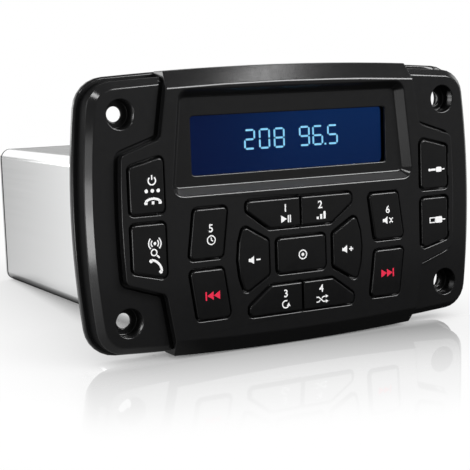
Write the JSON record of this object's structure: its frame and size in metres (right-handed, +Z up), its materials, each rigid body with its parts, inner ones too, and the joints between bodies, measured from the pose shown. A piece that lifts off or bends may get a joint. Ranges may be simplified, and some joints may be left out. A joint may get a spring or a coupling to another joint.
{
  "type": "marine stereo",
  "caption": "Flush-mount marine stereo with a black faceplate, blue display, press keys, hinged port covers and a silver rear housing.",
  "frame": {"origin": "middle of the four mounting screw holes, in the plane of the mounting gasket's back face", "axes": "+X to the right as seen from the front, +Y backwards through the dashboard, +Z up"},
  "size_m": [0.156, 0.1544, 0.0962],
  "materials": {
    "black_plastic": "satin",
    "key_rubber": "matte",
    "cover_rubber": "matte",
    "seal_rubber": "matte",
    "foam": "matte",
    "clear_lens": "gloss",
    "lcd_glass": "gloss",
    "light_guide": "gloss",
    "dark_fittings": "satin",
    "white_plastic": "satin",
    "steel": "satin",
    "silver_metal": "satin",
    "circuit_board": "gloss",
    "capacitor_sleeve": "gloss",
    "copper_wire": "gloss",
    "pin_brass": "satin",
    "fuse_red": "gloss"
  },
  "bodies": {
    "stereo": {"mounting_flange": "black_plastic", "front_panel": "black_plastic", "port_plate": "black_plastic", "display_frame": "black_plastic", "cover_hinges": "cover_rubber", "keypad_web": "seal_rubber", "lens_seal": "seal_rubber", "mounting_gasket": "foam", "sleeve_seal": "foam", "rear_seal": "foam", "display_lens": "clear_lens", "lcd_glass": "lcd_glass", "light_guide": "light_guide", "aux_jack": "dark_fittings", "harness_socket": "dark_fittings", "fuse_holder": "dark_fittings", "key_switches": "dark_fittings", "amplifier_chip": "dark_fittings", "usb_tongue": "white_plastic", "board_link": "white_plastic", "key_lamps": "white_plastic", "usb_socket": "steel", "panel_screws": "steel", "control_board_screws": "steel", "sleeve_screws": "steel", "rear_screws": "steel", "clip_screws": "steel", "amplifier_clip": "steel", "tuner_can": "steel", "antenna_socket": "steel", "wireless_module": "steel", "housing_sleeve": "silver_metal", "rear_plate": "silver_metal", "heat_spreader": "silver_metal", "control_board": "circuit_board", "main_board": "circuit_board", "supply_capacitors": "capacitor_sleeve", "filter_choke": "copper_wire", "harness_pins": "pin_brass", "blade_fuse": "fuse_red"},
    "key_power": {"key_power": "key_rubber"},
    "key_band": {"key_band": "key_rubber"},
    "key_1": {"key_1": "key_rubber"},
    "key_2": {"key_2": "key_rubber"},
    "key_3": {"key_3": "key_rubber"},
    "key_4": {"key_4": "key_rubber"},
    "key_5": {"key_5": "key_rubber"},
    "key_6": {"key_6": "key_rubber"},
    "key_previous": {"key_previous": "key_rubber"},
    "key_next": {"key_next": "key_rubber"},
    "key_volume_down": {"key_volume_down": "key_rubber"},
    "key_volume_up": {"key_volume_up": "key_rubber"},
    "key_select": {"key_select": "key_rubber"},
    "aux_cover": {"aux_cover": "cover_rubber"},
    "usb_cover": {"usb_cover": "cover_rubber"}
  },
  "joints": [
    {"name": "key_power_press", "type": "slide", "parent": "stereo", "child": "key_power", "axis": [0, 1, 0], "range_m": [0, 0.0008], "stiffness_N_per_m": 600},
    {"name": "key_band_press", "type": "slide", "parent": "stereo", "child": "key_band", "axis": [0, 1, 0], "range_m": [0, 0.0008], "stiffness_N_per_m": 600},
    {"name": "key_1_press", "type": "slide", "parent": "stereo", "child": "key_1", "axis": [0, 1, 0], "range_m": [0, 0.0008], "stiffness_N_per_m": 600},
    {"name": "key_2_press", "type": "slide", "parent": "stereo", "child": "key_2", "axis": [0, 1, 0], "range_m": [0, 0.0008], "stiffness_N_per_m": 600},
    {"name": "key_3_press", "type": "slide", "parent": "stereo", "child": "key_3", "axis": [0, 1, 0], "range_m": [0, 0.0008], "stiffness_N_per_m": 600},
    {"name": "key_4_press", "type": "slide", "parent": "stereo", "child": "key_4", "axis": [0, 1, 0], "range_m": [0, 0.0008], "stiffness_N_per_m": 600},
    {"name": "key_5_press", "type": "slide", "parent": "stereo", "child": "key_5", "axis": [0, 1, 0], "range_m": [0, 0.0008], "stiffness_N_per_m": 600},
    {"name": "key_6_press", "type": "slide", "parent": "stereo", "child": "key_6", "axis": [0, 1, 0], "range_m": [0, 0.0008], "stiffness_N_per_m": 600},
    {"name": "key_previous_press", "type": "slide", "parent": "stereo", "child": "key_previous", "axis": [0, 1, 0], "range_m": [0, 0.0008], "stiffness_N_per_m": 600},
    {"name": "key_next_press", "type": "slide", "parent": "stereo", "child": "key_next", "axis": [0, 1, 0], "range_m": [0, 0.0008], "stiffness_N_per_m": 600},
    {"name": "key_volume_down_press", "type": "slide", "parent": "stereo", "child": "key_volume_down", "axis": [0, 1, 0], "range_m": [0, 0.0008], "stiffness_N_per_m": 600},
    {"name": "key_volume_up_press", "type": "slide", "parent": "stereo", "child": "key_volume_up", "axis": [0, 1, 0], "range_m": [0, 0.0008], "stiffness_N_per_m": 600},
    {"name": "key_select_press", "type": "slide", "parent": "stereo", "child": "key_select", "axis": [0, 1, 0], "range_m": [0, 0.0008], "stiffness_N_per_m": 600},
    {"name": "aux_cover_hinge", "type": "hinge", "parent": "stereo", "child": "aux_cover", "pos_m": [0.06315, -0.01525, 0.01], "axis": [0, 0, 1], "range_deg": [0, 110], "stiffness_Nm_per_rad": 0.004},
    {"name": "usb_cover_hinge", "type": "hinge", "parent": "stereo", "child": "usb_cover", "pos_m": [0.06315, -0.01525, -0.0104], "axis": [0, 0, 1], "range_deg": [0, 110], "stiffness_Nm_per_rad": 0.004}
  ]
}
